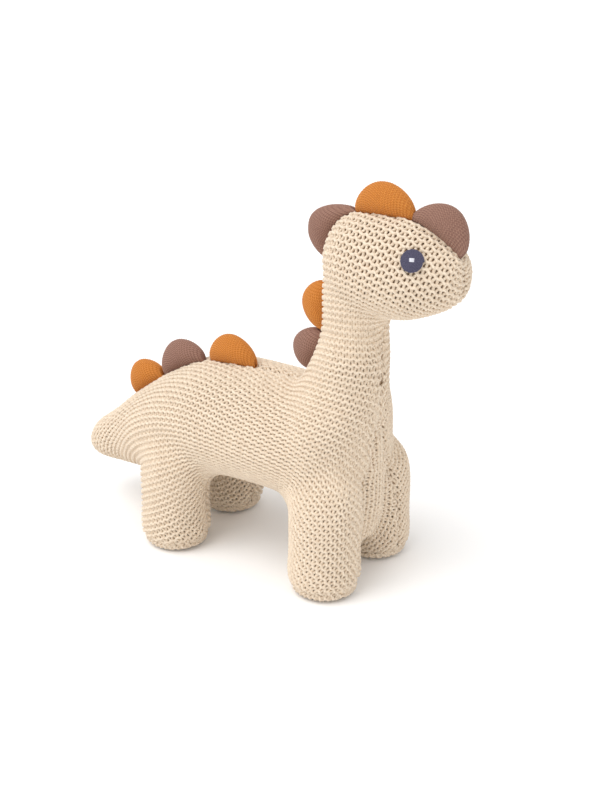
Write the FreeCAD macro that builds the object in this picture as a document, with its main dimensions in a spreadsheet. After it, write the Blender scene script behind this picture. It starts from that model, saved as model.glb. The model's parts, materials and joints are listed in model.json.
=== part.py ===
import FreeCAD, Part
import math
import os
from FreeCAD import Placement, Rotation, Vector
from Sketcher import Constraint

# Stuffed knitted dinosaur, standing on four legs.
# Millimetres, +X towards the snout, +Y to its left, +Z up.
# The origin is on the ground, below the middle of the bounding box.
#
# The toy is one stuffed skin. It is modelled as an outer form and, one fabric thickness inside it, an
# inner form. The layer between them is the knitted fabric and the space inside is the stuffing. Both are
# divided where the toy bends, so that each flexing piece is a body of its own with a small gap around it.

DIMENSIONS = {
    "overall_length": 270,
    "overall_height": 249,
    "overall_width": 103,
    "fabric": 2.6,          # thickness of the chunky knit
    "joint_gap": 0.8,
    "foot_radius": 21.5,
    "foot_track": 59,       # between the centres of the left and right feet
    "front_foot": 64.5,     # from the origin forward to the front feet
    "rear_foot": 45.5,      # from the origin back to the rear feet
    "sole_height": 5.5,
    "hip_height": 56,
    "hip_radius": 22.5,
    "leg_swing": 10,        # degrees each way
    "gusset_width": 36,
    "gusset_top": 108,      # height at which the gusset tapers to a point on the chest
    "tail_gusset_width": 18,
    "tail_joint": 96,       # from the origin back to the tail's joint
    "tail_joint_height": 53,
    "tail_radius": 25.4,
    "neck_joint": 58.5,     # from the origin forward to the neck's joint
    "neck_joint_height": 121,
    "neck_joint_radius": 28,
    "neck_top": 183,
    "neck_axis": 66,        # from the origin forward to the axis that the head turns on
    "neck_radius": 20,
    "head_clear": 42,       # from the neck's joint up to below the chin
    "spike_length": 34,
    "spike_height": 17,
    "spike_thickness": 13,
    "spike_fabric": 1.3,    # thickness of the fine knit
    "spike_clearance": 2.0,
    "eye_diameter": 12,
    "eye_thickness": 3,
    "glint_diameter": 2.4,
    "glint_thickness": 0.9,
}

# Sections from the tail's tip to the shoulders: place along the length and height of the centre, then
# half height and half width, as shares of the overall length, height, height and width.
BARREL = [
    (-0.500, 0.147, 0.012, 0.039),
    (-0.487, 0.156, 0.041, 0.101),
    (-0.458, 0.168, 0.060, 0.152),
    (-0.415, 0.187, 0.075, 0.203),
    (-0.356, 0.218, 0.101, 0.250),
    (-0.305, 0.243, 0.118, 0.320),
    (-0.236, 0.275, 0.138, 0.380),
    (-0.153, 0.308, 0.150, 0.413),
    (-0.055, 0.327, 0.148, 0.420),
    (0.036, 0.330, 0.145, 0.420),
    (0.127, 0.328, 0.146, 0.410),
    (0.218, 0.318, 0.140, 0.370),
]

# Sections from the crotch up the chest, neck and nape: height, then place of the centre along the length, half
# length and half width, as shares of the overall height, length, length and width.
COLUMN = [
    (0.090, 0.232, 0.050, 0.190),
    (0.130, 0.220, 0.081, 0.290),
    (0.183, 0.209, 0.102, 0.370),
    (0.264, 0.202, 0.112, 0.410),
    (0.366, 0.200, 0.113, 0.405),
    (0.439, 0.206, 0.107, 0.350),
    (0.486, 0.217, 0.098, 0.272),
    (0.549, 0.233, 0.084, 0.238),
    (0.610, 0.242, 0.074, 0.204),
    (0.671, 0.2445, 0.0725, 0.194),
    (0.740, 0.2445, 0.0725, 0.194),
    (0.820, 0.2460, 0.0710, 0.188),
]

# Sections from the back of the head to the snout, in the same four shares as BARREL.
HEAD = [
    (0.178, 0.795, 0.018, 0.038),
    (0.188, 0.797, 0.056, 0.126),
    (0.212, 0.797, 0.094, 0.204),
    (0.252, 0.796, 0.115, 0.252),
    (0.312, 0.795, 0.120, 0.274),
    (0.376, 0.796, 0.117, 0.270),
    (0.426, 0.797, 0.098, 0.234),
    (0.460, 0.795, 0.078, 0.184),
    (0.484, 0.793, 0.056, 0.132),
    (0.496, 0.791, 0.029, 0.068),
]

# Sections of a leg from the ground up: height as a share of the hip height, distance from the middle
# plane as a share of half the foot track, then half length and half width as shares of the foot radius.
LEG = [
    (0.00, 1.00, 0.78, 0.78),
    (0.03, 1.00, 0.92, 0.92),
    (0.10, 1.00, 1.00, 1.00),
    (0.45, 1.00, 1.02, 1.00),
    (0.80, 0.98, 1.04, 0.99),
    (1.07, 0.94, 1.04, 0.92),
    (1.32, 0.86, 0.95, 0.70),
    (1.50, 0.80, 0.75, 0.50),
]

# Sections of a spike from its seam up: height, half length and half thickness, as shares of the spike's
# height, half length and half thickness.
SPIKE = [
    (0.00, 0.97, 0.40),
    (0.12, 1.00, 0.68),
    (0.35, 0.95, 0.98),
    (0.60, 0.80, 0.93),
    (0.82, 0.56, 0.68),
    (0.94, 0.34, 0.42),
    (1.00, 0.13, 0.18),
]

# Spikes from tail to forehead: the form they stand on, where along it their seam's middle is (a share of
# the overall length, or of the height on the neck), and their length as a share of the spike length.
SPIKES = [
    ("barrel", -0.317, 0.84),
    ("barrel", -0.213, 1.03),
    ("barrel", -0.074, 0.97),
    ("column", 0.551, 0.78),
    ("column", 0.666, 0.85),
    ("head", 0.1875, 1.00),
    ("head", 0.308, 1.06),
    ("head", 0.434, 1.03),
]

# The eye's middle, as shares of the overall length, width and height.
EYE_PLACE = (0.4145, 0.204, 0.844)
EYE_YAW = 20                # degrees from facing sideways towards facing forward
EYE_LIFT = 22               # degrees up
LEGS = {
    "front_left": ("front_foot", 1),
    "front_right": ("front_foot", -1),
    "rear_left": ("-rear_foot", 1),
    "rear_right": ("-rear_foot", -1),
}

doc = FreeCAD.newDocument("dinosaur")
sheet = doc.addObject("Spreadsheet::Sheet", "Sizes")
for row, (alias, value) in enumerate(DIMENSIONS.items(), start=1):
    sheet.set(f"A{row}", alias)
    sheet.set(f"B{row}", str(value))
    sheet.setAlias(f"B{row}", alias)
doc.recompute()


def size(formula):
    """The formula with every dimension's name made a reference to its cell."""
    words = formula.replace("(", " ( ").replace(")", " ) ").split()
    signed = [word.lstrip("-") for word in words]
    return " ".join(
        word.replace(name, "Sizes." + name) if name in DIMENSIONS else word
        for word, name in zip(words, signed)
    )


def add(kind, name, place=None, rotation=None, **sizes):
    """A document object with sizes bound to the sheet, and its place as three formulas."""
    item = doc.addObject(kind, name)
    if rotation:
        item.Placement = Placement(Vector(0, 0, 0), rotation)
    for key, formula in sizes.items():
        item.setExpression(key, size(formula))
    for axis, formula in zip("xyz", place or ()):
        item.setExpression(f".Placement.Base.{axis}", size(formula))
    return item


def box(name, low, high):
    """A box between two corners, each given as three formulas."""
    spans = [f"({b}) - ({a})" for a, b in zip(low, high)]
    return add("Part::Box", name, place=low, Length=spans[0], Width=spans[1], Height=spans[2])


def cut(name, base, tool):
    item = doc.addObject("Part::Cut", name)
    item.Base = base
    item.Tool = tool
    return item


def common(name, base, tool):
    item = doc.addObject("Part::Common", name)
    item.Base = base
    item.Tool = tool
    return item


def fuse(name, *items):
    item = doc.addObject("Part::MultiFuse", name)
    item.Shapes = list(items)
    return item


def loft(name, ellipses):
    item = doc.addObject("Part::Loft", name)
    item.Sections = ellipses
    item.Solid = True
    return item


def inset_share(share, shares, total, skin):
    """A section's place drawn in towards the middle of its form, by the skin at either end."""
    middle = (shares[0] + shares[-1]) / 2
    half = (shares[-1] - shares[0]) / 2
    reach = (share - middle) / half
    return f"{total} * {share} - {reach} * {skin}"


FACING_X_WIDE = Rotation(Vector(0, 1, 0), Vector(0, 0, 1), Vector(1, 0, 0), "ZXY")
FACING_X_TALL = Rotation(Vector(0, 0, 1), Vector(0, -1, 0), Vector(1, 0, 0), "ZXY")
FACING_Z_WIDE = Rotation(Vector(0, 1, 0), Vector(-1, 0, 0), Vector(0, 0, 1), "ZXY")
FACING_Z_LONG = Rotation()


def upright_sections(name, table, skin, wide):
    """Ellipses across the length: the barrel is wider than high, the head higher than wide."""
    shares = [row[0] for row in table]
    ellipses = []
    for number, (x, z, half_height, half_width) in enumerate(table):
        place = (inset_share(x, shares, "overall_length", skin), "0", f"overall_height * {z}")
        height = f"overall_height * {half_height} - {skin} * 0.999"
        width = f"overall_width * {half_width} - {skin} * 0.999"
        tip = number in (0, len(table) - 1)
        if tip and skin != "0":
            height = f"overall_height * {half_height} * 0.5"
            width = f"overall_width * {half_width} * 0.5"
        major, minor = (width, height) if wide else (height, width)
        rotation = FACING_X_WIDE if wide else FACING_X_TALL
        ellipses.append(add(
            "Part::Ellipse", f"{name}_section", place, rotation, MajorRadius=major, MinorRadius=minor))
    return ellipses


def column_form(name, skin):
    """The chest and neck as one upright loft."""
    shares = [row[0] for row in COLUMN]
    ellipses = []
    for z, x, half_length, half_width in COLUMN:
        place = (f"overall_length * {x}", "0", inset_share(z, shares, "overall_height", skin))
        ellipses.append(add(
            "Part::Ellipse", f"{name}_section", place, FACING_Z_WIDE,
            MajorRadius=f"overall_width * {half_width} - {skin}",
            MinorRadius=f"overall_length * {half_length} - {skin}"))
    return loft(name, ellipses)


def leg_form(name, foot, side, skin):
    """One leg, from the ground to the top of the hip."""
    shares = [row[0] for row in LEG]
    ellipses = []
    for z, out, half_length, half_width in LEG:
        place = (foot, f"{side} * {out} * foot_track / 2", inset_share(z, shares, "hip_height", skin))
        ellipses.append(add(
            "Part::Ellipse", f"{name}_section", place, FACING_Z_LONG,
            MajorRadius=f"foot_radius * {half_length} - {skin}",
            MinorRadius=f"foot_radius * {half_width} - {skin}"))
    return loft(name, ellipses)


def spike_form(name, scale, skin):
    """A half moon with a pinched seam, standing on its seam at the origin."""
    shares = [row[0] for row in SPIKE]
    ellipses = []
    for z, half_length, half_thickness in SPIKE:
        place = ("0", "0", inset_share(z, shares, "spike_height", skin))
        ellipses.append(add(
            "Part::Ellipse", f"{name}_section", place, FACING_Z_LONG,
            MajorRadius=f"spike_length / 2 * {half_length * scale} - {skin} * {half_length}",
            MinorRadius=f"spike_thickness / 2 * {half_thickness} - {skin} * {half_thickness}"))
    return loft(name, ellipses)


def ridge(form, share):
    """A point on the top or back edge of a form, as shares of the length and height, and its slope."""
    if form == "column":
        edge = [(x - half_length, z) for z, x, half_length, _ in COLUMN]
        key = 1
    else:
        table = BARREL if form == "barrel" else HEAD
        edge = [(x, z + half_height) for x, z, half_height, _ in table]
        key = 0
    start, end = next(
        (a, b) for a, b in zip(edge, edge[1:]) if a[key] <= share <= b[key])
    part_way = (share - start[key]) / (end[key] - start[key])
    along = start[0] + part_way * (end[0] - start[0])
    up = start[1] + part_way * (end[1] - start[1])
    rise = (end[1] - start[1]) * DIMENSIONS["overall_height"]
    run = (end[0] - start[0]) * DIMENSIONS["overall_length"]
    return along, up, math.atan2(rise, run)


pieces = []


def piece(item, label):
    """Marks an object as a sub-part, which is written to a file of its own."""
    item.Label = label
    pieces.append(item)
    return item


# Outer and inner forms
barrel = loft("barrel_outer", upright_sections("barrel_outer", BARREL, "0", True))
barrel_inside = loft("barrel_inner", upright_sections("barrel_inner", BARREL, "fabric", True))
head = loft("head_outer", upright_sections("head_outer", HEAD, "0", False))
head_inside = loft("head_inner", upright_sections("head_inner", HEAD, "fabric", False))
column = column_form("column_outer", "0")
column_inside = column_form("column_inner", "fabric")

# Whole space left of the middle plane, and right of it
FAR = "overall_length"
left_side = box("left_side", (f"-{FAR}", "0", f"-{FAR}"), (FAR, FAR, FAR))
right_side = box("right_side", (f"-{FAR}", f"-{FAR}", f"-{FAR}"), (FAR, "0", FAR))


def ball(name, radius, place):
    return add("Part::Sphere", name, place, Radius=radius)


def panels(body, skin, gusset_zone):
    """The left and right panels of a body's skin, and the gusset between them below."""
    sides = cut(f"{body}_sides", skin, gusset_zone) if gusset_zone else skin
    piece(common(f"{body}_left", sides, left_side), f"{body}_left_panel")
    piece(common(f"{body}_right", sides, right_side), f"{body}_right_panel")
    if gusset_zone:
        piece(common(f"{body}_under", skin, gusset_zone), f"{body}_gusset")


# Tail: it turns about an upright axis, in a round socket behind the hips
TAIL_PLACE = ("-tail_joint", "0", "tail_joint_height")
behind_joint = box(
    "behind_joint", (f"-{FAR}", f"-{FAR}", f"-{FAR}"), ("-tail_joint - 5 * joint_gap", FAR, FAR))
tail_zone = fuse("tail_zone", ball("tail_ball", "tail_radius", TAIL_PLACE), behind_joint)
tail_socket = fuse(
    "tail_socket",
    ball("tail_socket_ball", "tail_radius + joint_gap", TAIL_PLACE),
    box("tail_clearance", (f"-{FAR}", f"-{FAR}", f"-{FAR}"), ("-tail_joint + joint_gap", FAR, FAR)),
)
tail_skin = common("tail_skin", cut("barrel_fabric", barrel, barrel_inside), tail_zone)
tail_gusset_zone = box(
    "tail_gusset_zone",
    (f"-{FAR}", "-tail_gusset_width / 2", f"-{FAR}"),
    (FAR, "tail_gusset_width / 2", "tail_joint_height - tail_radius / 2"),
)
panels("tail", tail_skin, tail_gusset_zone)
piece(common("tail_fill", barrel_inside, tail_zone), "tail_stuffing")

# Neck: it nods about a crosswise axis, in a round socket in the chest, and ends in a plain plug
NECK_PLACE = ("neck_joint", "0", "neck_joint_height")
neck_length = box(
    "neck_length",
    (f"-{FAR}", f"-{FAR}", "neck_joint_height"),
    (FAR, FAR, "neck_top"),
)
neck_zone = fuse("neck_zone", ball("neck_ball", "neck_joint_radius", NECK_PLACE), neck_length)
neck_socket = fuse(
    "neck_socket",
    ball("neck_socket_ball", "neck_joint_radius + joint_gap", NECK_PLACE),
    box("neck_clearance", (f"-{FAR}", f"-{FAR}", "neck_joint_height - joint_gap"), (FAR, FAR, FAR)),
)
neck_skin = common("neck_skin", cut("column_fabric", column, column_inside), neck_zone)
panels("neck", neck_skin, None)
piece(common("neck_fill", column_inside, neck_zone), "neck_stuffing")

# Legs: each swings about a crosswise axis through the hip, under a round socket in the body
hip_cutters = []
for end, foot in (("front", "front_foot"), ("rear", "-rear_foot")):
    hip_cutters.append(add(
        "Part::Cylinder", f"{end}_hip_socket",
        (foot, "overall_width", "hip_height"), Rotation(Vector(1, 0, 0), 90),
        Radius="hip_radius + joint_gap", Height="2 * overall_width"))
    for swing in (-1, 0, 1):
        # A leg's outline below the hip, turned to one end of its swing
        reach = DIMENSIONS["hip_radius"] + DIMENSIONS["joint_gap"]
        turn = Rotation(Vector(0, 1, 0), swing * DIMENSIONS["leg_swing"])
        corner = turn.multVec(Vector(-reach, 0, -DIMENSIONS["hip_height"] * 1.5))
        hip_cutters.append(add(
            "Part::Box", f"{end}_swing_room",
            (f"{foot} + ({corner.x})", "-overall_width", f"hip_height + ({corner.z})"), turn,
            Length="2 * ( hip_radius + joint_gap )", Width="2 * overall_width", Height="hip_height * 1.5"))
between_legs = box(
    "between_legs",
    (f"-{FAR}", "-foot_track / 2 + foot_radius + joint_gap", f"-{FAR}"),
    (FAR, "foot_track / 2 - foot_radius - joint_gap", FAR),
)
hip_sockets = cut("hip_sockets", fuse("hip_room", *hip_cutters), between_legs)

for leg, (foot, side) in LEGS.items():
    outer = leg_form(f"{leg}_leg_outer", foot, side, "0")
    inner = leg_form(f"{leg}_leg_inner", foot, side, "fabric")
    if side > 0:
        own_side = box(f"{leg}_side", (f"-{FAR}", "foot_track / 2 - foot_radius", f"-{FAR}"), (FAR, FAR, FAR))
    else:
        own_side = box(f"{leg}_side", (f"-{FAR}", f"-{FAR}", f"-{FAR}"), (FAR, "foot_radius - foot_track / 2", FAR))
    reach_zone = fuse(
        f"{leg}_reach",
        add("Part::Cylinder", f"{leg}_hip", (foot, "overall_width", "hip_height"),
            Rotation(Vector(1, 0, 0), 90), Radius="hip_radius", Height="2 * overall_width"),
        box(f"{leg}_below_hip",
            (f"{foot} - hip_radius", "-overall_width", "-foot_radius"),
            (f"{foot} + hip_radius", "overall_width", "hip_height")),
    )
    zone = common(f"{leg}_leg_zone", reach_zone, own_side)
    skin = common(f"{leg}_leg_skin", cut(f"{leg}_leg_fabric", outer, inner), zone)
    low_zone = box(
        f"{leg}_low_zone", (f"-{FAR}", f"-{FAR}", f"-{FAR}"), (FAR, FAR, "sole_height"))
    upper = cut(f"{leg}_leg_upper", skin, low_zone)
    seam = "foot_track / 2"
    if side > 0:
        outside = box(f"{leg}_outside", (f"-{FAR}", seam, f"-{FAR}"), (FAR, FAR, FAR))
    else:
        outside = box(f"{leg}_outside", (f"-{FAR}", f"-{FAR}", f"-{FAR}"), (FAR, f"-{seam}", FAR))
    piece(common(f"{leg}_outer_half", upper, outside), f"{leg}_leg_outer_panel")
    piece(cut(f"{leg}_inner_half", upper, outside), f"{leg}_leg_inner_panel")
    piece(common(f"{leg}_bottom", skin, low_zone), f"{leg}_sole")
    piece(common(f"{leg}_fill", inner, zone), f"{leg}_leg_stuffing")

# Torso: the barrel joined to the chest, with the sockets taken out
torso_form = fuse("torso_form", barrel, column)
torso_inside = fuse("torso_inside", barrel_inside, column_inside)
sockets = fuse("sockets", tail_socket, neck_socket, hip_sockets)
torso_skin = cut("torso_skin", cut("torso_fabric", torso_form, torso_inside), sockets)
chest_taper = add(
    "Part::Wedge", "chest_taper", ("neck_axis", "0", "hip_height"), Rotation(Vector(1, 0, 0), 90),
    Xmin="0", Xmax="overall_length", X2min="0", X2max="overall_length",
    Ymin="0", Ymax="gusset_top - hip_height",
    Zmin="-gusset_width / 2", Zmax="gusset_width / 2", Z2min="-joint_gap / 2", Z2max="joint_gap / 2")
belly_zone = box(
    "belly_zone", (f"-{FAR}", "-gusset_width / 2", f"-{FAR}"), (FAR, "gusset_width / 2", "hip_height"))
gusset_zone = fuse("gusset_zone", belly_zone, chest_taper)
panels("torso", torso_skin, gusset_zone)
piece(cut("torso_fill", torso_inside, sockets), "torso_stuffing")

def plane_of(body, role):
    return next(item for item in body.Origin.OriginFeatures if item.Role == role)


def domed_disc(name, diameter, thickness):
    """A disc with a flat back at the origin and a rounded front towards +Z, thickness as a formula."""
    body = doc.addObject("PartDesign::Body", name)
    sketch = body.newObject("Sketcher::SketchObject", f"{name}_outline")
    sketch.AttachmentSupport = [(plane_of(body, "XY_Plane"), "")]
    sketch.MapMode = "FlatFace"
    outline = sketch.addGeometry(Part.Circle(Vector(0, 0, 0), Vector(0, 0, 1), 1))
    sketch.addConstraint(Constraint("Coincident", outline, 3, -1, 1))
    number = sketch.addConstraint(Constraint("Radius", outline, 1.0))
    sketch.setExpression(f"Constraints[{number}]", size(f"{diameter} / 2"))
    pad = body.newObject("PartDesign::Pad", f"{name}_pad")
    pad.Profile = sketch
    pad.setExpression("Length", size(thickness))
    doc.recompute()
    front = max(range(len(pad.Shape.Edges)), key=lambda i: pad.Shape.Edges[i].CenterOfMass.z)
    rounding = body.newObject("PartDesign::Fillet", f"{name}_rounding")
    rounding.Base = (pad, [f"Edge{front + 1}"])
    rounding.setExpression("Radius", size(f"{thickness} * 0.6"))
    return body


def look_out(side):
    """A rotation that turns +Z to the direction in which the eye on that side faces."""
    yaw, lift = math.radians(EYE_YAW), math.radians(EYE_LIFT)
    facing = Vector(
        math.sin(yaw) * math.cos(lift), side * math.cos(yaw) * math.cos(lift), math.sin(lift))
    return Rotation(Vector(0, 0, 1), facing)


# Eyes: a rounded disc on each side of the head, with a small pale stitch on it
head_plug = add(
    "Part::Cylinder", "head_plug", ("neck_axis", "0", "0"),
    Radius="neck_radius + joint_gap", Height="neck_top + joint_gap")
eyes = []
for side_name, side in (("left", 1), ("right", -1)):
    across, wide, up = EYE_PLACE
    place = (f"overall_length * {across}", f"{side} * overall_width * {wide}", f"overall_height * {up}")
    turn = look_out(side)
    eye = domed_disc(f"{side_name}_eye_disc", "eye_diameter", "eye_thickness")
    eye.Placement = Placement(Vector(0, 0, 0), turn)
    for axis, formula in zip("xyz", place):
        eye.setExpression(f".Placement.Base.{axis}", size(formula))
    eyes.append(piece(eye, f"{side_name}_eye"))
    depth = DIMENSIONS["eye_thickness"]
    seat = turn.multVec(Vector(DIMENSIONS["eye_diameter"] * 0.14, DIMENSIONS["eye_diameter"] * 0.1, depth))
    glint_place = [f"{formula} + ({offset})" for formula, offset in zip(place, seat)]
    glint = domed_disc(f"{side_name}_glint_disc", "glint_diameter", "glint_thickness")
    glint.Placement = Placement(Vector(0, 0, 0), turn)
    for axis, formula in zip("xyz", glint_place):
        glint.setExpression(f".Placement.Base.{axis}", size(formula))
    piece(glint, f"{side_name}_eye_glint")

# Head: it turns on the neck's plug
below_head = box("below_head", (f"-{FAR}", f"-{FAR}", "0"), (FAR, FAR, "neck_joint_height + head_clear"))
head_room = fuse("head_room", head_plug, below_head, *eyes)
head_form = fuse("head_form", head, column)
head_form_inside = fuse("head_form_inside", head_inside, column_inside)
head_skin = cut("head_skin", cut("head_fabric", head_form, head_form_inside), head_room)
panels("head", head_skin, None)
piece(cut("head_fill", head_form_inside, head_room), "head_stuffing")

# Spikes: a fine knitted cover and its filling, just clear of the ridge seam
for number, (form, share, scale) in enumerate(SPIKES, start=1):
    along, up, slope = ridge(form, share)
    turn = Rotation(Vector(0, 1, 0), -math.degrees(slope))
    place = (
        f"overall_length * {along} - spike_clearance * {math.sin(slope)}",
        "0",
        f"overall_height * {up} + spike_clearance * {math.cos(slope)}",
    )
    outer = spike_form(f"spike_{number}_outer", scale, "0")
    inner = spike_form(f"spike_{number}_inner", scale, "spike_fabric")
    cover = cut(f"spike_{number}_shell", outer, inner)
    for source, part_name in ((cover, "cover"), (inner, "stuffing")):
        placed = add("Part::Compound", f"spike_{number}_{part_name}_placed", place, turn)
        placed.Links = [source]
        piece(placed, f"spike_{number}_{part_name}")

doc.recompute()

for item in doc.Objects:
    if "Invalid" in item.State or "Error" in item.State:
        raise RuntimeError(f"{item.Name} failed: {item.State}")
for item in pieces:
    if item.Shape.isNull() or not item.Shape.isValid():
        raise RuntimeError(f"{item.Label} has no valid shape")

os.makedirs("parts", exist_ok=True)
for item in pieces:
    item.Shape.exportStep(f"parts/{item.Label}.step")
print(len(pieces), "pieces written")
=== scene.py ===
import json
import math

import bmesh
import bpy
import numpy as np
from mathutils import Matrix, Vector
from mathutils.bvhtree import BVHTree
from mathutils.kdtree import KDTree

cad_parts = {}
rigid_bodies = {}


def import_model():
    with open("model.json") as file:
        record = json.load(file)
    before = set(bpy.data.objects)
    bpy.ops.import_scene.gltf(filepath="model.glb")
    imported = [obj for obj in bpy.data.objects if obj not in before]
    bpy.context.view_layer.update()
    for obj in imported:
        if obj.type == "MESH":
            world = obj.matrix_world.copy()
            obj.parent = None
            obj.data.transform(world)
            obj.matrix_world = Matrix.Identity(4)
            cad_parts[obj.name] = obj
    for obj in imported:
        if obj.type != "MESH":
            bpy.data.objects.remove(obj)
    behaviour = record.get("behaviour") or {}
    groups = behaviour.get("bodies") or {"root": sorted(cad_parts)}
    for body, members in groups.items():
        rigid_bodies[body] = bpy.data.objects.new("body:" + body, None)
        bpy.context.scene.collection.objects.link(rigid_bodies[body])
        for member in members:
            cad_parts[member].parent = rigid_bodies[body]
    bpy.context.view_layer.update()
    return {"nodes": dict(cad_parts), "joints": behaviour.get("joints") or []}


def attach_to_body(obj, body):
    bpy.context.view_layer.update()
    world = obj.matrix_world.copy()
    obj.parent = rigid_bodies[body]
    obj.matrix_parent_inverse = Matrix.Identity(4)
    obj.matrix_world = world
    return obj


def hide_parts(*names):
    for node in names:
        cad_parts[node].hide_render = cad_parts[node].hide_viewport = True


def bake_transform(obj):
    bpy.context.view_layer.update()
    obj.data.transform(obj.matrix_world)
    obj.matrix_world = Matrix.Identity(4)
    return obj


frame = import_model()
nodes = frame["nodes"]

MM = 0.001
SIDES = {"left": 1, "right": -1}

# One stitch of each knit. The yarn crosses the stitch's width, reaches above and below its row, sways
# sideways and rises by its crown. It lies at depth under the skin, and deeper by dip at a seam.
BODY_STITCH = {
    "width": 4.0 * MM, "pitch": 3.5 * MM, "reach": 2.2 * MM, "sway": 0.75 * MM, "crown": 0.55 * MM,
    "depth": 1.6 * MM, "dip": 1.3 * MM, "radius": 0.98 * MM, "steps": 12, "sides": 6,
}
SPIKE_STITCH = {
    "width": 1.6 * MM, "pitch": 1.25 * MM, "reach": 1.0 * MM, "sway": 0.3 * MM, "crown": -0.22 * MM,
    "depth": 0.4 * MM, "dip": 0, "radius": 0.33 * MM, "steps": 8, "sides": 5,
}
SEAM_REACH = 3.5 * MM        # how far from a seam the rows begin to dip
BACKING_DEPTH = 2.6 * MM     # from the outside of the skin to the stuffing
CLOSING = 5 * MM             # gaps up to twice this are closed when the solids are joined
COARSE_SHARE = 0.07          # of the form's triangles, kept in the copy that is laid flat

# Seams, in mm. The gusset has one width from BELLY_BACK to BELLY_FRONT. Ahead of FORE_X and behind HIND_X
# its half-width follows these tables: against height up the chest to its point, against height up the rump,
# and against x under the tail.
SOLE_HEIGHT = 5.5
CHEST_SEAM = ((30, 24), (42, 21.5), (70, 13), (87, 7), (108, 0.02))
RUMP_SEAM = ((30, 24), (44, 17), (58, 9.5))
TAIL_SEAM = ((-134, 0.02), (-105, 7.5), (-80, 9.5))
BELLY_FRONT, FORE_X = 40, 70
BELLY_BACK, HIND_X = -48, -62

# Where the skin turns from one body to the next: the body before, and the turn's start and end, in mm.
BENDS = {
    "tail": ("torso", Vector((-82, 0, 53)), Vector((-112, 0, 53))),
    "neck": ("torso", Vector((46.2, 0, 100.1)), Vector((54.6, 0, 118.3))),
    "head": ("neck", Vector((52, 0, 176)), Vector((64, 0, 196))),
}
# How the skin turns at a leg, in mm. Within LEG_CORE of the leg's middle it swings fully, and that fades
# over LEG_FADE.
FEET = {"front": 64.5, "rear": -45.5}
FOOT_Y = 29.5
FOOT_REACH = 30
LEG_CORE = 23
LEG_FADE = 22
LEG_TOP = 26
MIDDLE_STRIP, MIDDLE_FADE = 1, 7     # the skin along the middle line doesn't swing with a leg
TAIL_ROOT, TAIL_FADE = -84, 14       # and neither does the skin behind the tail's root

SPIKE_COUNT = 8
SPIKE_HALF = 24 * MM         # more than half the length of the longest spike
SPIKE_STATION = 0.5 * MM     # from one station along a spike to the next
SPIKE_STEPS = 33             # places over a spike, from side to side
SPIKE_SINK = 1.6 * MM        # how far a spike's base goes into the ridge
SPIKE_BACKING = 0.7 * MM     # from the outside of a spike's knit to its stuffing

EYE_RADIUS = 6.2 * MM
EYE_CENTRE = 0.3 * MM        # where the winding ends, from the middle
EYE_CROWN = 1.5 * MM
EYE_SINK = 1.2 * MM
EYE_TURNS = 9
EYE_THREAD = 0.42 * MM
EYE_THREAD_SIDES = 6


# ---------------------------------------------------------------- meshes

def new_object(name, mesh):
    item = bpy.data.objects.new(name, mesh)
    bpy.context.scene.collection.objects.link(item)
    return item


def with_modifier(item, kind, **settings):
    """Applies one modifier to the object's mesh."""
    modifier = item.modifiers.new(kind.lower(), kind)
    for key, value in settings.items():
        setattr(modifier, key, value)
    shaped = bpy.data.meshes.new_from_object(item.evaluated_get(bpy.context.evaluated_depsgraph_get()))
    item.modifiers.clear()
    item.data = shaped
    return item


def vectors(collection, key, width):
    out = np.zeros(len(collection) * width)
    collection.foreach_get(key, out)
    return out.reshape(-1, width)


def triangles(mesh):
    """Corner numbers of every triangle."""
    out = np.zeros(len(mesh.polygons) * 3, dtype=np.int64)
    mesh.polygons.foreach_get("vertices", out)
    return out.reshape(-1, 3)


def shade_smooth(mesh):
    mesh.polygons.foreach_set("use_smooth", np.ones(len(mesh.polygons), dtype=bool))


def swell(item, amount):
    """Moves every vertex along its normal."""
    mesh = item.data
    moved = vectors(mesh.vertices, "co", 3) + amount * vectors(mesh.vertices, "normal", 3)
    mesh.vertices.foreach_set("co", moved.ravel())
    mesh.update()


def capped_mesh(name, place, faces):
    """A mesh with its faces turned outward, and a cap over each open rim that is one plain loop."""
    shell = bmesh.new()
    corners = [shell.verts.new(p) for p in place]
    for face in faces:
        shell.faces.new([corners[i] for i in face])
    bmesh.ops.holes_fill(shell, edges=shell.edges[:], sides=0)
    bmesh.ops.triangulate(shell, faces=[f for f in shell.faces if len(f.verts) > 3])
    bmesh.ops.recalc_face_normals(shell, faces=shell.faces[:])
    mesh = bpy.data.meshes.new(name)
    shell.to_mesh(mesh)
    shell.free()
    shade_smooth(mesh)
    return new_object(name, mesh)


def smoothstep(t):
    t = np.clip(t, 0, 1)
    return t * t * (3 - 2 * t)


def table(value, rows):
    """Reads a table of (input, output) rows, in mm, at inputs in metres."""
    inputs, outputs = zip(*rows)
    return np.interp(value, np.array(inputs) * MM, np.array(outputs) * MM)


# ---------------------------------------------------------------- the stuffed form

def body_form():
    """The skin of the whole animal without its spikes and eyes: the CAD solids joined, with their gaps
    closed by swelling and shrinking back, and smoothed."""
    form = bmesh.new()
    for name, node in nodes.items():
        if not name.startswith("spike") and "eye" not in name:
            form.from_mesh(node.data)
    bmesh.ops.remove_doubles(form, verts=form.verts, dist=1e-6)
    mesh = bpy.data.meshes.new("form")
    form.to_mesh(mesh)
    form.free()
    item = new_object("form", mesh)
    for amount in (CLOSING, -CLOSING, 0):
        with_modifier(item, "REMESH", mode="VOXEL", voxel_size=2.0 * MM, use_smooth_shade=True)
        swell(item, amount)
    with_modifier(item, "SMOOTH", factor=0.5, iterations=14)
    return with_modifier(item, "TRIANGULATE")


def coarse_copy(item):
    """The same form in fewer, larger triangles, light enough to lay flat."""
    small = new_object("coarse", item.data.copy())
    return with_modifier(small, "DECIMATE", ratio=COARSE_SHARE, use_symmetry=True, symmetry_axis="Y")


# ---------------------------------------------------------------- seams

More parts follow.
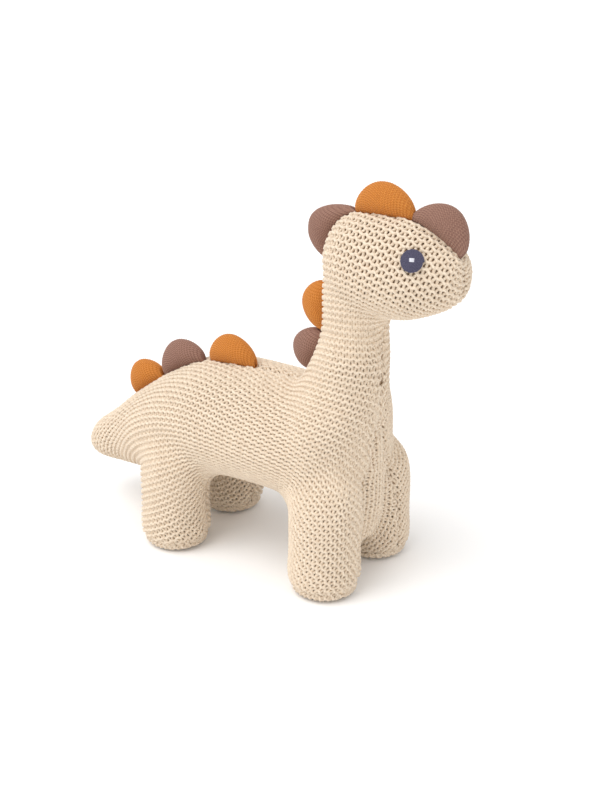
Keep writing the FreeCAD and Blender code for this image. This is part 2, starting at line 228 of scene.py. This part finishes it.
def gusset_half_width(place):
    """Half-width of the belly gusset at each point."""
    x, z = place[:, 0], place[:, 2]
    fore = table(z, CHEST_SEAM)
    hind = np.minimum(table(z, RUMP_SEAM), np.where(x < TAIL_SEAM[-1][0] * MM, table(x, TAIL_SEAM), 1))
    middle = np.full(len(place), CHEST_SEAM[0][1] * MM)
    forward = smoothstep((x / MM - BELLY_FRONT) / (FORE_X - BELLY_FRONT))
    backward = smoothstep((BELLY_BACK - x / MM) / (BELLY_BACK - HIND_X))
    return middle * (1 - forward) * (1 - backward) + fore * forward + hind * backward


def underneath(place, normal):
    """Which points lie on the belly, chest or inner leg, and not on the back."""
    low = place[:, 2] < 40 * MM
    down = (normal[:, 2] < 0.05) & (place[:, 2] < 75 * MM)
    chest = (normal[:, 0] > 0.1) & (place[:, 0] > 60 * MM)
    above_the_point = (CHEST_SEAM[-1][0] + 1) * MM
    return (low | down | chest) & (place[:, 2] < above_the_point)


def cut_along(form, point, normal):
    bmesh.ops.bisect_plane(form, geom=form.verts[:] + form.edges[:] + form.faces[:], plane_co=point,
                           plane_no=normal, dist=1e-7)


def cut_seams(item):
    """Cuts edges into the form along every seam: the gusset's while it is drawn out to one width."""
    form = bmesh.new()
    form.from_mesh(item.data)
    cut_along(form, (0, 0, SOLE_HEIGHT * MM), (0, 0, 1))
    cut_along(form, (0, 0, 0), (0, 1, 0))
    true = np.array([v.co for v in form.verts])
    for v, width in zip(form.verts, gusset_half_width(true)):
        v.co.y /= width
    for side in (1, -1):
        cut_along(form, (0, side, 0), (0, 1, 0))
    drawn = np.array([v.co for v in form.verts])
    for v, width in zip(form.verts, gusset_half_width(drawn)):
        v.co.y *= width
    bmesh.ops.triangulate(form, faces=form.faces[:])
    form.normal_update()
    form.to_mesh(item.data)
    form.free()


def sort_faces(item):
    """Gives each face to a panel: right side, left side, gusset, or one of the four soles."""
    mesh = item.data
    centre = vectors(mesh.polygons, "center", 3)
    normal = vectors(mesh.polygons, "normal", 3)
    inside = np.abs(centre[:, 1]) < gusset_half_width(centre)
    panel = np.where(centre[:, 1] < 0, "right", "left").astype(object)
    panel[inside & underneath(centre, normal)] = "gusset"
    sole = centre[:, 2] < SOLE_HEIGHT * MM
    for end, x in FEET.items():
        near = np.abs(centre[:, 0] - x * MM) < FOOT_REACH * MM
        panel[sole & near & (centre[:, 1] < 0)] = end + "_right_sole"
        panel[sole & near & (centre[:, 1] >= 0)] = end + "_left_sole"
    return panel


# ---------------------------------------------------------------- flattened panels

class Skin:
    """A smooth surface, which gives the nearest place and normal on it."""

    def __init__(self, mesh):
        self.place = vectors(mesh.vertices, "co", 3)
        self.normal = vectors(mesh.vertices, "normal", 3)
        self.faces = triangles(mesh)
        self.tree = BVHTree.FromPolygons(self.place.tolist(), self.faces.tolist())

    def nearest(self, wanted):
        found = [self.tree.find_nearest(p) for p in wanted]
        spot = np.array([f[0] for f in found])
        corner = self.faces[[f[2] for f in found]]
        a, b, c = (self.place[corner[:, i]] for i in range(3))
        whole = np.cross(b - a, c - a)
        size = (whole ** 2).sum(axis=1) + 1e-24
        second = (np.cross(spot - a, c - a) * whole).sum(axis=1) / size
        third = (np.cross(b - a, spot - a) * whole).sum(axis=1) / size
        share = np.stack([1 - second - third, second, third], axis=1)
        normal = (self.normal[corner] * share[:, :, None]).sum(axis=1)
        return spot, normal / np.linalg.norm(normal, axis=1, keepdims=True)


class Panel:
    """One panel of the skin, laid flat. It turns flat places into places on the skin."""

    def __init__(self, place, faces, flat, skin):
        self.faces, self.flat, self.skin = faces, flat, skin
        self.values = np.concatenate([place, distance_to_rim(flat, faces)[:, None]], axis=1)
        self.tree = BVHTree.FromPolygons([(u, v, 0.0) for u, v in flat], faces.tolist())

    def at(self, flat):
        """Place, normal and distance to the rim for flat places, and how far outside the panel each was."""
        found = [self.tree.find_nearest((u, v, 0.0)) for u, v in flat]
        spot = np.array([f[0][:2] for f in found])
        corner = self.faces[[f[2] for f in found]]
        a, b, c = (self.flat[corner[:, i]] for i in range(3))
        whole = np.cross(b - a, c - a)
        whole = np.where(np.abs(whole) < 1e-14, 1e-14, whole)
        second = np.cross(spot - a, c - a) / whole
        third = np.cross(b - a, spot - a) / whole
        share = np.clip(np.stack([1 - second - third, second, third], axis=1), 0, 1)
        share /= share.sum(axis=1, keepdims=True)
        mixed = (self.values[corner] * share[:, :, None]).sum(axis=1)
        place, normal = self.skin.nearest(mixed[:, :3])
        return place, normal, mixed[:, 3], np.array([f[3] for f in found])


def flattened(item, chosen, rise_of, skin):
    """The chosen faces of the form as a flat panel, at true size, with rise_of growing from row to row."""
    faces = largest_part(triangles(item.data)[chosen], len(item.data.vertices))
    used, local = np.unique(faces, return_inverse=True)
    faces = local.reshape(-1, 3)
    place = vectors(item.data.vertices, "co", 3)[used]
    flat = unwrapped(place, faces)
    a, b, c = (place[faces[:, i]] for i in range(3))
    area = np.linalg.norm(np.cross(b - a, c - a), axis=1) / 2
    a, b, c = (flat[faces[:, i]] for i in range(3))
    flat_area = np.cross(b - a, c - a) / 2
    flat *= math.sqrt(area.sum() / np.abs(flat_area).sum())
    if flat_area.sum() < 0:
        flat[:, 0] *= -1
    flat = turned(flat, faces, rise_of(place), area)
    return Panel(place, faces, flat, skin)


def largest_part(faces, count):
    """Keeps the largest connected part, so that stray slivers beside a seam are dropped."""
    label = np.arange(count)
    while True:
        lowest = label[faces].min(axis=1)
        updated = label.copy()
        for i in range(3):
            np.minimum.at(updated, faces[:, i], lowest)
        updated = updated[updated]
        if (updated == label).all():
            break
        label = updated
    names, sizes = np.unique(label[faces[:, 0]], return_counts=True)
    return faces[label[faces[:, 0]] == names[sizes.argmax()]]


def unwrapped(place, faces):
    """Flat coordinates of an open piece of skin, stretched as little as possible."""
    mesh = bpy.data.meshes.new("flat")
    mesh.from_pydata(place.tolist(), [], faces.tolist())
    item = new_object("flat", mesh)
    # everything that is selected goes into edit mode, so only this mesh may be
    for other in bpy.context.view_layer.objects:
        other.select_set(other == item)
    bpy.context.view_layer.objects.active = item
    mesh.uv_layers.new(name="flat")
    bpy.ops.object.mode_set(mode="EDIT")
    bpy.ops.mesh.select_all(action="SELECT")
    bpy.ops.uv.unwrap(method="MINIMUM_STRETCH", fill_holes=False, correct_aspect=False, margin=0)
    bpy.ops.object.mode_set(mode="OBJECT")
    spots = vectors(mesh.uv_layers[0].uv, "vector", 2)
    corners = np.zeros(len(mesh.loops), dtype=np.int64)
    mesh.loops.foreach_get("vertex_index", corners)
    flat = np.zeros((len(place), 2))
    flat[corners] = spots
    bpy.data.objects.remove(item)
    return flat


def turned(flat, faces, rise, area):
    """Turns the flat panel so that rise grows along +v."""
    a, b, c = (flat[faces[:, i]] for i in range(3))
    ra, rb, rc = (rise[faces[:, i]] for i in range(3))
    whole = np.cross(b - a, c - a)
    good = np.abs(whole) > 1e-12
    along_u = ((rb - ra) * (c - a)[:, 1] - (rc - ra) * (b - a)[:, 1])[good] / whole[good]
    along_v = ((rc - ra) * (b - a)[:, 0] - (rb - ra) * (c - a)[:, 0])[good] / whole[good]
    angle = math.atan2((along_u * area[good]).sum(), (along_v * area[good]).sum())
    turn = np.array([[math.cos(angle), math.sin(angle)], [-math.sin(angle), math.cos(angle)]])
    return flat @ turn


def distance_to_rim(flat, faces):
    """Distance from each vertex to the panel's rim, measured on the flat."""
    edges = np.sort(np.concatenate([faces[:, [0, 1]], faces[:, [1, 2]], faces[:, [2, 0]]]), axis=1)
    pairs, uses = np.unique(edges, axis=0, return_counts=True)
    rim = np.unique(pairs[uses == 1])
    tree = KDTree(len(rim))
    for i, (u, v) in enumerate(flat[rim]):
        tree.insert((u, v, 0), i)
    tree.balance()
    return np.array([tree.find((u, v, 0))[2] for u, v in flat])


# ---------------------------------------------------------------- knitting

def loop_path(stitch):
    """One stitch of a row: sideways, along the wale, and outward offsets of the yarn."""
    turn = np.linspace(0, 2 * np.pi, stitch["steps"], endpoint=False)
    side = stitch["sway"] * np.sin(2 * turn) + stitch["width"] * turn / (2 * np.pi)
    return side, stitch["reach"] * np.cos(turn), stitch["crown"] * np.cos(2 * turn)


def unbroken_runs(bodies):
    """Every (row, start, stop) of stitches side by side that are on the panel and on the same body."""
    for number, row in enumerate(bodies):
        start = 0
        while start < len(row):
            stop = start + 1
            while stop < len(row) and row[stop] == row[start]:
                stop += 1
            if row[start] is not None:
                yield number, start, stop
            start = stop


def knit(panel, stitch, body_at):
    """Fills a flat panel with rows of loops. body_at names the body of each place. Returns
    {body: [(places, normals), ...]}, with one entry for each run of yarn."""
    width, pitch = stitch["width"], stitch["pitch"]
    low, high = panel.flat.min(axis=0), panel.flat.max(axis=0)
    columns = np.arange(low[0] + width / 2, high[0], width)
    rows = np.arange(low[1] + pitch / 2, high[1], pitch)
    centres = np.array([(u, v) for v in rows for u in columns])
    place, _, _, outside = panel.at(centres)
    bodies = np.where(outside < 1e-7, body_at(place), None).reshape(len(rows), len(columns))
    side, along, out = loop_path(stitch)
    laid = {}
    for row, start, stop in unbroken_runs(bodies):
        count = stop - start
        u = columns[start:stop, None] - width / 2 + side[None, :]
        flat_u = np.append(u.ravel(), u[-1, 0] + width)
        flat_v = rows[row] + np.append(np.tile(along, count), along[0])
        crown = np.append(np.tile(out, count), out[0])
        laid.setdefault(bodies[row, start], []).append((np.stack([flat_u, flat_v], axis=1), crown))
    return {body: put_on_skin(panel, stitch, runs) for body, runs in laid.items()}


def put_on_skin(panel, stitch, runs):
    """Takes flat runs of yarn to their places on the skin, deeper near the panel's seams."""
    flat = np.concatenate([f for f, _ in runs])
    crown = np.concatenate([c for _, c in runs])
    place, normal, edge, _ = panel.at(flat)
    dip = stitch["dip"] * (1 - smoothstep(edge / SEAM_REACH))
    place = place + normal * (crown - dip - stitch["depth"])[:, None]
    cuts = np.cumsum([len(f) for f, _ in runs])[:-1]
    return list(zip(np.split(place, cuts), np.split(normal, cuts)))


def mirrored(runs):
    flip = np.array([1, -1, 1])
    return [(place * flip, normal * flip) for place, normal in runs]


def everywhere(body):
    """A rule for knit that gives every place to one body."""
    return lambda place: np.full(len(place), body, dtype=object)


def tube(centre, normal, radius, sides):
    """Rings of places around a run of yarn, the quads between them, and each corner's length and turn."""
    around = np.arange(sides) * 2 * np.pi / sides
    tangent = np.gradient(centre, axis=0)
    tangent /= np.linalg.norm(tangent, axis=1, keepdims=True) + 1e-12
    across = np.cross(tangent, normal)
    across /= np.linalg.norm(across, axis=1, keepdims=True) + 1e-12
    outward = np.cross(across, tangent)
    ring = (across[:, None, :] * np.cos(around)[None, :, None]
            + outward[:, None, :] * np.sin(around)[None, :, None])
    rings = (centre[:, None, :] + radius * ring).reshape(-1, 3)
    step = np.arange(len(centre) - 1)[:, None] * sides
    here = np.arange(sides)[None, :]
    after = (here + 1) % sides
    quads = np.stack([step + here, step + after, step + sides + after, step + sides + here], axis=2)
    length = np.append(0, np.cumsum(np.linalg.norm(np.diff(centre, axis=0), axis=1)))
    lengths = np.stack([length[:-1], length[:-1], length[1:], length[1:]], axis=1)[:, None, :]
    turns = np.stack([here, here + 1, here + 1, here], axis=2)[0][None, :, :] / sides
    twist = np.stack(np.broadcast_arrays(lengths / MM, turns), axis=3)
    return rings, quads.reshape(-1, 4), twist.reshape(-1, 2)


def yarn_mesh(name, runs, radius, sides):
    """One mesh of yarn, each run a tube closed at both ends, with its length and turn in the layer Yarn."""
    places, quads, twists, caps = [], [], [], []
    first = 0
    for centre, normal in runs:
        rings, walls, twist = tube(centre, normal, radius, sides)
        places.append(rings)
        quads.append(walls + first)
        twists.append(twist)
        last = first + len(rings) - sides
        caps.append(list(reversed(range(first, first + sides))))
        caps.append(list(range(last, last + sides)))
        first += len(rings)
    faces = np.concatenate(quads)
    mesh = bpy.data.meshes.new(name)
    mesh.from_pydata(np.concatenate(places), [], faces.tolist() + caps)
    mesh.uv_layers.new(name="Yarn")
    mesh.uv_layers.new(name="OFBake")
    known = np.concatenate(twists)
    twist = np.zeros((len(mesh.loops), 2), dtype=np.float32)
    twist[:len(known)] = known
    mesh.uv_layers["Yarn"].uv.foreach_set("vector", twist.ravel())
    mesh.uv_layers["OFBake"].uv.foreach_set("vector", bake_layout(len(faces), len(mesh.loops)).ravel())
    mesh.uv_layers["OFBake"].active = True
    shade_smooth(mesh)
    mesh.update()
    return new_object(name, mesh)


def bake_layout(count, loops):
    """Lays quads out on a square grid, one cell each, with the caps in the last cell."""
    low, high = 0.08, 0.92
    across = math.ceil(math.sqrt(count + 1))
    cell = np.arange(count)
    cells = np.stack([cell % across, cell // across], axis=1)[:, None, :]
    corners = np.array([(low, low), (high, low), (high, high), (low, high)])[None, :, :]
    spots = np.full((loops, 2), 1 - 0.5 / across, dtype=np.float32)
    spots[:4 * count] = ((cells + corners) / across).reshape(-1, 2)
    return spots


# ---------------------------------------------------------------- which body each place belongs to

def plane_share(place, start, end):
    """How far each place is along the way from start to end, which are in mm."""
    start, end = np.array(start) * MM, np.array(end) * MM
    way = end - start
    return (place - start) @ way / (way @ way)


def leg_share(place, end):
    """How far a place on the skin swings with the leg below it, from 0 to 1."""
    x, y, z = place[:, 0] / MM, np.abs(place[:, 1]) / MM, place[:, 2] / MM
    above = np.maximum(z - LEG_TOP, 0)
    reach = np.sqrt((x - FEET[end]) ** 2 + (y - FOOT_Y) ** 2 + above ** 2)
    share = 1 - smoothstep((reach - LEG_CORE) / LEG_FADE)
    return share * smoothstep((y - MIDDLE_STRIP) / MIDDLE_FADE) * smoothstep((x - TAIL_ROOT) / TAIL_FADE)


def body_of(place):
    """The body that each place on the skin belongs to, or bends toward."""
    body = np.full(len(place), "torso", dtype=object)
    for end in FEET:
        swings = leg_share(place, end) > 0.001
        for side, sign in SIDES.items():
            body[swings & (sign * place[:, 1] > 0)] = f"{end}_{side}_leg"
    for name, (_, start, end) in BENDS.items():
        body[plane_share(place, start, end) > 0] = name
    return body


def attach(item, body):
    """Makes a piece of skin ride on the torso; a piece of any other body only has its placement baked into
    its mesh.
    """
    if body == "torso":
        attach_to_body(item, "torso")
    elif body.endswith("_leg"):
        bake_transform(item)
        share = leg_share(vectors(item.data.vertices, "co", 3), body.split("_")[0])
    else:
        before, start, end = BENDS[body]
        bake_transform(item)


# ---------------------------------------------------------------- materials

class Nodes:
    """Short ways to add and join shader nodes."""

    def __init__(self, name):
        self.material = bpy.data.materials.new(name)
        self.material.use_nodes = True
        self.tree = self.material.node_tree
        self.shader = self.tree.nodes["Principled BSDF"]

    def node(self, kind, inputs=None, **settings):
        node = self.tree.nodes.new(kind)
        for key, value in settings.items():
            setattr(node, key, value)
        for key, value in (inputs or {}).items():
            if isinstance(value, bpy.types.NodeSocket):
                self.tree.links.new(value, node.inputs[key])
            else:
                node.inputs[key].default_value = value
        return node

    def add(self, kind, inputs=None, **settings):
        return self.node(kind, inputs, **settings).outputs[0]

    def sum(self, a, b):
        return self.add("ShaderNodeMath", {0: a, 1: b}, operation="ADD")

    def times(self, a, b):
        return self.add("ShaderNodeMath", {0: a, 1: b}, operation="MULTIPLY")

    def sine(self, a):
        return self.add("ShaderNodeMath", {0: a}, operation="SINE")

    def mix(self, share, a, b):
        return self.node("ShaderNodeMix", {0: share, 6: a, 7: b}, data_type="RGBA").outputs[2]

    def place(self):
        return self.node("ShaderNodeTexCoord").outputs["Object"]

    def finish(self, colour, rough, bump, strength, distance):
        links = self.tree.links
        links.new(colour, self.shader.inputs["Base Color"])
        self.shader.inputs["Roughness"].default_value = rough
        raised = self.add("ShaderNodeBump", {"Height": bump, "Strength": strength, "Distance": distance})
        links.new(raised, self.shader.inputs["Normal"])
        return self.material


def linear(red, green, blue):
    """Screen colour, 0 to 255, as linear light."""
    values = [c / 255 for c in (red, green, blue)]
    return (*[v / 12.92 if v <= 0.04045 else ((v + 0.055) / 1.055) ** 2.4 for v in values], 1)


def yarn_material(name, light, dark, plies, twist, grain, fuzz):
    """Plied yarn: strands that spiral along it, one turn in twist mm, with painted shade in the grooves
    between the strands, and lighter and darker flecks.
    """
    n = Nodes(name)
    parts = n.node("ShaderNodeSeparateXYZ", {0: n.add("ShaderNodeUVMap", uv_map="Yarn")})
    length, turn = parts.outputs[0], parts.outputs[1]
    strand = n.times(n.sum(n.times(length, 1 / twist), n.times(turn, plies)), 2 * math.pi)
    ply = n.times(n.sum(n.sine(strand), 1.0), 0.5)
    where = n.place()
    patch = n.add("ShaderNodeTexNoise", {"Vector": where, "Scale": grain, "Detail": 3.0, "Roughness": 0.6})
    hair = grain * 6
    fibre = n.add("ShaderNodeTexNoise", {"Vector": where, "Scale": hair, "Detail": 2.0, "Roughness": 0.6})
    # The colour is darker in the grooves between the strands, where the bump is low: painted shade. The
    # noise patch adds flecks of tone.
    groove_shade_and_flecks = n.sum(n.times(ply, 0.35), n.times(patch, 0.8))
    height = n.sum(ply, n.times(fibre, 0.6))
    n.shader.inputs["Sheen Weight"].default_value = fuzz
    n.shader.inputs["Sheen Roughness"].default_value = 0.5
    return n.finish(n.mix(groove_shade_and_flecks, dark, light), 0.9, height, 0.5, 0.25 * MM)


def plain_material(name, light, dark, scale, rough, strength, distance):
    """An even surface with a fine mottled grain."""
    n = Nodes(name)
    grain = n.add("ShaderNodeTexNoise", {"Vector": n.place(), "Scale": scale, "Detail": 4.0})
    return n.finish(n.mix(grain, dark, light), rough, grain, strength, distance)


def shade_ground_material(name, light, dark):
    """The stuffing that shows between the fine stitches of a spike, coloured darker than the yarn as
    painted shade.
    """
    return plain_material(name, light, dark, 900, 0.95, 0.3, 0.1 * MM)


CREAM = yarn_material("cream cotton", linear(241, 225, 203), linear(208, 185, 160), 3, 3.2, 300, 0.2)
MUSTARD = yarn_material("mustard cotton", linear(226, 150, 66), linear(190, 115, 40), 2, 1.6, 500, 0.15)
MAUVE = yarn_material("mauve cotton", linear(174, 134, 116), linear(140, 102, 86), 2, 1.6, 500, 0.15)
NAVY = yarn_material("navy thread", linear(90, 87, 110), linear(62, 60, 82), 2, 1.2, 900, 0.05)
PALE = yarn_material("pale thread", linear(236, 236, 242), linear(205, 206, 216), 2, 1.2, 900, 0.05)
# Darker tones of the spike yarns: painted shade between the fine stitches of a spike.
MUSTARD_SHADE_GROUND = shade_ground_material("mustard shade ground", linear(196, 118, 42), linear(172, 100, 34))
MAUVE_SHADE_GROUND = shade_ground_material("mauve shade ground", linear(138, 102, 88), linear(118, 84, 72))
# The stuffing under the body's knit is a dark tan: painted shade in the gaps between the loops.
FILLING_PAINTED_SHADE = plain_material("filling", linear(186, 160, 132), linear(150, 124, 100), 700, 0.95, 0.4, 0.3 * MM)
PAPER = plain_material("paper", linear(252, 252, 252), linear(250, 250, 250), 3, 0.9, 0.02, MM)


def finish_piece(item, material, slot, replaced):
    """Gives a piece its material, and hides the CAD node called replaced, if there is one; slot is not
    used.
    """
    item.data.materials.append(material)
    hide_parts(*[name for name in nodes if name == replaced])


# ---------------------------------------------------------------- body skin

def skin_pieces(coarse, skin):
    """The runs of yarn of each piece of the body's skin, as {name: (body, runs)}. The right side is
    knitted, and the left is its mirror."""
    panel = sort_faces(coarse)
    made = {}

    def make_both(name, body, runs):
        made[name] = body, runs
        made[name.replace("right", "left")] = body.replace("right", "left"), mirrored(runs)

    side = flattened(coarse, panel == "right", lambda place: place[:, 2], skin)
    gusset = flattened(coarse, panel == "gusset", lambda place: place[:, 1], skin)
    for body, runs in knit(side, BODY_STITCH, body_of).items():
        make_both(f"{body}_outer_panel" if body.endswith("_leg") else f"{body}_right_panel", body, runs)
    for body, runs in knit(gusset, BODY_STITCH, body_of).items():
        made[f"{body}_inner_panel" if body.endswith("_leg") else f"{body}_gusset"] = body, runs
    for end in FEET:
        leg = f"{end}_right_leg"
        sole = flattened(coarse, panel == f"{end}_right_sole", lambda place: place[:, 0], skin)
        make_both(f"{end}_right_sole", leg, knit(sole, BODY_STITCH, everywhere(leg))[leg])
    return made


def add_skin(made):
    for name, (body, runs) in made.items():
        item = yarn_mesh("knit_" + name, runs, BODY_STITCH["radius"], BODY_STITCH["sides"])
        finish_piece(item, CREAM, "cream_knit", name)
        attach(item, body)


def add_stuffing(form):
    """The stuffing that shows between the loops: the form drawn in under the knit, one piece a body, in a
    dark tan that is painted shade in the gaps.
    """
    mesh = form.data
    place = vectors(mesh.vertices, "co", 3) - BACKING_DEPTH * vectors(mesh.vertices, "normal", 3)
    faces = triangles(mesh)
    bodies = body_of(vectors(mesh.polygons, "center", 3))
    for body in sorted(set(bodies)):
        used, local = np.unique(faces[bodies == body], return_inverse=True)
        item = capped_mesh(f"form_{body}_stuffing", place[used], local.reshape(-1, 3))
        finish_piece(item, FILLING_PAINTED_SHADE, "filling", f"{body}_stuffing")
        attach(item, body)


# ---------------------------------------------------------------- spikes

def spike_grid(number, joint, skin):
    """The outside of one spike as a grid: stations along its base, and steps over it from side to side.
    Each station is let down onto the body, so that the spike sits on the curve of the ridge."""
    cover = BVHTree.FromObject(nodes[f"spike_{number}_cover"], bpy.context.evaluated_depsgraph_get())
    base, along = Vector(joint["pos_m"]), Vector(joint["axis"]).normalized()
    side = Vector((0, 1, 0))
    up = along.cross(side).normalized()
    rim_angle, far, above = 0.02, 40, 8
    grid = []
    for a in np.arange(-SPIKE_HALF, SPIKE_HALF + 0.01 * MM, SPIKE_STATION):
        row = []
        for angle in np.linspace(rim_angle, math.pi - rim_angle, SPIKE_STEPS):
            way = side * math.cos(angle) + up * math.sin(angle)
            start = base + along * a + up * 0.05 * MM
            hit = cover.ray_cast(start + way * far * MM, -way, far * MM)[0]
            if hit is None:
                break
            row.append(np.array(hit))
        if len(row) == SPIKE_STEPS:
            middle = base + along * a
            ground = skin.tree.ray_cast(middle + up * above * MM, -up)[0]
            drop = (middle - ground).dot(up) + SPIKE_SINK if ground else 2 * MM
            grid.append(np.array(row) - np.array(up) * drop)
    return np.array(grid), base, up


def grid_faces(stations, steps):
    corner = np.arange(stations * steps).reshape(stations, steps)
    a, b, c, d = corner[:-1, :-1], corner[:-1, 1:], corner[1:, 1:], corner[1:, :-1]
    pairs = [np.stack([a, b, c], axis=2), np.stack([a, c, d], axis=2)]
    return np.concatenate([p.reshape(-1, 3)[:, ::-1] for p in pairs])


def grid_panel(grid):
    """A panel laid out by distance along the base and distance from the top line."""
    stations, steps = grid.shape[:2]
    top = steps // 2
    pace = np.linalg.norm(np.diff(grid, axis=1), axis=2)
    reach = np.concatenate([np.zeros((stations, 1)), np.cumsum(pace, axis=1)], axis=1)
    v = reach - reach[:, top:top + 1]
    u = np.repeat(np.arange(stations)[:, None] * SPIKE_STATION, steps, axis=1)
    flat = np.stack([u, v], axis=2).reshape(-1, 2)
    faces = grid_faces(stations, steps)
    mesh = bpy.data.meshes.new("grid")
    mesh.from_pydata(grid.reshape(-1, 3).tolist(), [], faces.tolist())
    mesh.update()
    return Panel(grid.reshape(-1, 3), faces, flat, Skin(mesh))


def add_spike(number, skin):
    """One spike: its knitted cover, and the stuffing that shows between the stitches, coloured as painted
    shade.
    """
    body = f"spike_{number}"
    joint = next(j for j in frame["joints"] if j["child"] == body)
    grid, base, up = spike_grid(number, joint, skin)
    panel = grid_panel(grid)
    knitted = yarn_mesh(f"knit_{body}_cover", knit(panel, SPIKE_STITCH, everywhere(body))[body],
                        SPIKE_STITCH["radius"], SPIKE_STITCH["sides"])
    under = panel.skin.place - panel.skin.normal * SPIKE_BACKING
    filled = capped_mesh(f"form_{body}_stuffing", under, panel.faces)
    # The stuffing under a spike's knit takes a darker tone of its yarn: painted shade between the stitches.
    yarn, ground, slot = MAUVE, MAUVE_SHADE_GROUND, "mauve_knit"
    if number % 2:
        yarn, ground, slot = MUSTARD, MUSTARD_SHADE_GROUND, "mustard_knit"
    finish_piece(knitted, yarn, slot, f"{body}_cover")
    finish_piece(filled, ground, slot, f"{body}_stuffing")
    for item in (knitted, filled):
        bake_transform(item)


# ---------------------------------------------------------------- eyes

def eye_piece(name, side, runs, material, slot):
    item = yarn_mesh(f"thread_{side}_{name}", runs, EYE_THREAD, EYE_THREAD_SIDES)
    finish_piece(item, material, slot, f"{side}_{name}")
    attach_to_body(item, "head")


def add_eye(side):
    """A round of thread, wound over a low dome from rim to middle, with a pale stitch near its top."""
    place = vectors(nodes[f"{side}_eye"].data.vertices, "co", 3)
    centre = place.mean(axis=0)
    thinnest = np.linalg.eigh(np.cov((place - centre).T))[1][:, 0]
    out = thinnest * np.sign(thinnest[1]) * SIDES[side]
    across = np.cross((0, 0, 1), out)
    across /= np.linalg.norm(across)
    rise = np.cross(out, across)

    turn = np.arange(0, 2 * math.pi * EYE_TURNS, 0.35)
    radius = (EYE_RADIUS - EYE_CENTRE) * (1 - turn / turn[-1]) + EYE_CENTRE
    height = EYE_CROWN * (1 - (radius / EYE_RADIUS) ** 2) - EYE_SINK
    wound = (centre + across * (radius * np.cos(turn))[:, None] + rise * (radius * np.sin(turn))[:, None]
             + out * height[:, None])
    eye_piece("eye", side, [(wound, np.repeat(out[None], len(turn), axis=0))], NAVY, "navy_eye")

    spot = centre + rise * 0.5 * MM + out * 0.65 * MM
    reach = np.linspace(-1, 1, 9)[:, None]
    facing = np.repeat(out[None], len(reach), axis=0)
    lines = [(spot + rise * k * 0.62 * MM + across * reach * 1.3 * MM - out * reach ** 2 * 0.5 * MM, facing)
             for k in (-1, 0, 1)]
    eye_piece("eye_glint", side, lines, PALE, "pale_thread")


form = body_form()
skin = Skin(form.data)
coarse = coarse_copy(form)
cut_seams(coarse)
add_skin(skin_pieces(coarse, skin))
add_stuffing(form)
for number in range(1, SPIKE_COUNT + 1):
    add_spike(number, skin)
for side in SIDES:
    add_eye(side)
for helper in (form, coarse):
    bpy.data.objects.remove(helper)


# ---------------------------------------------------------------- stage, light and camera

FLOOR_REACH = 60
KEY_TOWARD = (0.4, 0.75, -1.4)
KEY_STRENGTH = 1.5
KEY_SPREAD = math.radians(45)
FILL_LIGHT = 0.9
BACKDROP = 1.05              # how bright the surroundings look to the camera
AZIMUTH = math.radians(33)
ELEVATION = math.radians(24)
CAMERA_TARGET = Vector((25, 5, 100)) * MM
CAMERA_DISTANCE = 0.85
FOCAL_LENGTH = 63.8          # with a sensor 36 mm wide


def add_floor():
    mesh = bpy.data.meshes.new("floor")
    corners = [(x * FLOOR_REACH, y * FLOOR_REACH, 0) for x, y in ((-1, -1), (1, -1), (1, 1), (-1, 1))]
    mesh.from_pydata(corners, [], [(0, 1, 2, 3)])
    floor = new_object("floor", mesh)
    floor.data.materials.append(PAPER)


def add_key_light():
    lamp = bpy.data.lights.new("key", "SUN")
    lamp.energy = KEY_STRENGTH
    lamp.angle = KEY_SPREAD
    item = new_object("key", lamp)
    item.rotation_euler = Vector(KEY_TOWARD).to_track_quat("-Z", "Y").to_euler()


def add_surroundings():
    """Even white light from all around, and a slightly brighter white behind the object."""
    world = bpy.data.worlds.new("studio")
    world.use_nodes = True
    seen = world.node_tree.nodes.new("ShaderNodeLightPath").outputs["Is Camera Ray"]
    brightness = world.node_tree.nodes.new("ShaderNodeMapRange")
    world.node_tree.links.new(seen, brightness.inputs["Value"])
    brightness.inputs["To Min"].default_value = FILL_LIGHT
    brightness.inputs["To Max"].default_value = BACKDROP
    sky = world.node_tree.nodes["Background"]
    sky.inputs["Color"].default_value = (1, 1, 1, 1)
    world.node_tree.links.new(brightness.outputs["Result"], sky.inputs["Strength"])
    bpy.context.scene.world = world
    bpy.context.scene.view_settings.view_transform = "Standard"


def add_camera():
    level = math.cos(ELEVATION)
    back = Vector((math.sin(AZIMUTH) * level, -math.cos(AZIMUTH) * level, math.sin(ELEVATION)))
    lens = bpy.data.cameras.new("camera")
    lens.lens = FOCAL_LENGTH
    lens.sensor_width = 36
    lens.clip_start = 0.01
    camera = new_object("camera", lens)
    camera.location = CAMERA_TARGET + back * CAMERA_DISTANCE
    camera.rotation_mode = "QUATERNION"
    camera.rotation_quaternion = (-back).to_track_quat("-Z", "Y")
    bpy.context.scene.camera = camera


add_floor()
add_key_light()
add_surroundings()
add_camera()
